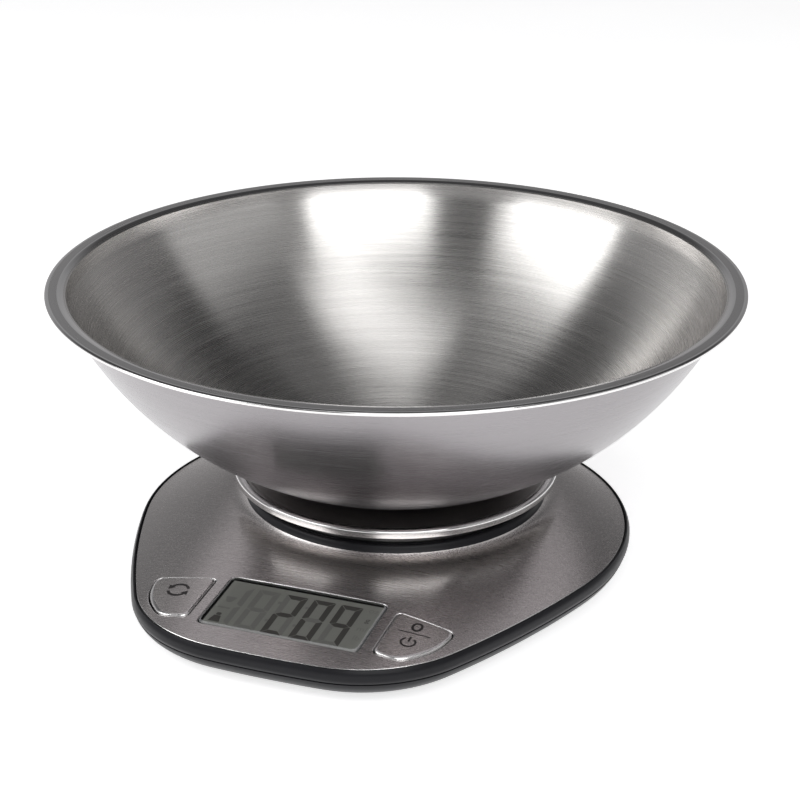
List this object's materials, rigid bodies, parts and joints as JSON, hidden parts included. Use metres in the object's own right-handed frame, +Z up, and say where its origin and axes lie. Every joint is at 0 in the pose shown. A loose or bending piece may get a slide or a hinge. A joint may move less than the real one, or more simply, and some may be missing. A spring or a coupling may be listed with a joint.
{
  "type": "kitchen scale with bowl",
  "caption": "Battery kitchen scale: a lift-off steel bowl on a round sprung platform over a rounded steel-topped base with a display and press keys.",
  "frame": {"origin": "where the vertical weighing axis through the bowl's centre meets the table", "axes": "+Z up along the bowl's axis; the display and keys are at the front, towards -Y; +X is the scale's right seen from the front"},
  "size_m": [0.24, 0.24, 0.1],
  "materials": {
    "bowl_steel": "lathe-brushed stainless steel with a polished rim edge",
    "panel_steel": "stainless steel brushed from side to side",
    "ring_steel": "polished stainless steel",
    "key_steel": "brushed stainless steel with a polished edge",
    "housing_black": "satin charcoal ABS with a fine moulded texture",
    "key_plastic": "satin black ABS",
    "dish_gloss": "glossy black ABS",
    "lens_clear": "clear polished acrylic",
    "lcd_face": "grey-green liquid crystal glass",
    "holder_black": "matt black",
    "connector_rubber": "striped conductive silicone",
    "foot_rubber": "matt black rubber",
    "board_green": "green solder mask on glass fibre",
    "chip_black": "black epoxy",
    "switch_black": "black nylon",
    "plunger_cream": "cream nylon",
    "cell_aluminium": "machined aluminium",
    "coat_white": "white silicone",
    "zinc_steel": "zinc-plated steel",
    "battery_sleeve": "printed sleeve over a steel can",
    "contact_nickel": "nickel-plated spring steel",
    "wire_red": "red PVC insulation",
    "wire_black": "black PVC insulation",
    "wire_grey": "grey PVC insulation"
  },
  "bodies": {
    "base": {"lower_housing": "housing_black", "upper_housing": "housing_black", "top_panel": "panel_steel", "display_lens": "lens_clear", "lcd_glass": "lcd_face", "lcd_holder": "holder_black", "lcd_connector": "connector_rubber", "circuit_board": "board_green", "chip_blob": "chip_black", "board_screw_1": "zinc_steel", "board_screw_2": "zinc_steel", "mode_switch": "switch_black", "zero_switch": "switch_black", "load_cell": "cell_aluminium", "gauge_coat": "coat_white", "cell_plate_lower": "zinc_steel", "cell_screw_1": "zinc_steel", "cell_screw_2": "zinc_steel", "battery_1": "battery_sleeve", "battery_2": "battery_sleeve", "contact_bridge": "contact_nickel", "contact_plus": "contact_nickel", "contact_minus": "contact_nickel", "sensor_cable": "wire_grey", "wire_plus": "wire_red", "wire_minus": "wire_black", "foot_1": "foot_rubber", "foot_2": "foot_rubber", "foot_3": "foot_rubber", "foot_4": "foot_rubber", "housing_screw_1": "zinc_steel", "housing_screw_2": "zinc_steel", "housing_screw_3": "zinc_steel", "housing_screw_4": "zinc_steel", "housing_screw_5": "zinc_steel"},
    "platform": {"tray_ring": "ring_steel", "tray_dish": "dish_gloss", "carrier_plate": "zinc_steel", "cell_plate_upper": "zinc_steel", "cell_screw_3": "zinc_steel", "cell_screw_4": "zinc_steel", "carrier_screw_1": "zinc_steel", "carrier_screw_2": "zinc_steel", "carrier_screw_3": "zinc_steel", "carrier_screw_4": "zinc_steel"},
    "bowl": {"bowl": "bowl_steel"},
    "mode_key": {"mode_key_face": "key_steel", "mode_key_body": "key_plastic"},
    "mode_plunger": {"mode_plunger": "plunger_cream"},
    "zero_key": {"zero_key_face": "key_steel", "zero_key_body": "key_plastic"},
    "zero_plunger": {"zero_plunger": "plunger_cream"},
    "battery_door": {"battery_door": "housing_black"}
  },
  "joints": [
    {"name": "platform_press", "type": "slide", "parent": "base", "child": "platform", "axis": [0, 0, -1], "range_m": [0, 0.0004], "stiffness_N_per_m": 30000, "springref_m": -0.0002},
    {"name": "bowl_lift", "type": "slide", "parent": "platform", "child": "bowl", "axis": [0, 0, 1], "range_m": [0, 0.12]},
    {"name": "mode_press", "type": "slide", "parent": "base", "child": "mode_key", "axis": [0, 0.0868, -0.9962], "range_m": [0, 0.0006], "stiffness_N_per_m": 600, "springref_m": -0.0006},
    {"name": "mode_click", "type": "slide", "parent": "base", "child": "mode_plunger", "axis": [0, 0.0868, -0.9962], "range_m": [0, 0.0006]},
    {"name": "zero_press", "type": "slide", "parent": "base", "child": "zero_key", "axis": [0, 0.0868, -0.9962], "range_m": [0, 0.0006], "stiffness_N_per_m": 600, "springref_m": -0.0006},
    {"name": "zero_click", "type": "slide", "parent": "base", "child": "zero_plunger", "axis": [0, 0.0868, -0.9962], "range_m": [0, 0.0006]},
    {"name": "door_swing", "type": "hinge", "parent": "base", "child": "battery_door", "pos_m": [0, 0.04205, 0.0023], "axis": [1, 0, 0], "range_deg": [0, 80]}
  ],
  "couplings": [
    {"joint": "mode_click", "follows": "mode_press", "ratio": 1},
    {"joint": "zero_click", "follows": "zero_press", "ratio": 1}
  ]
}
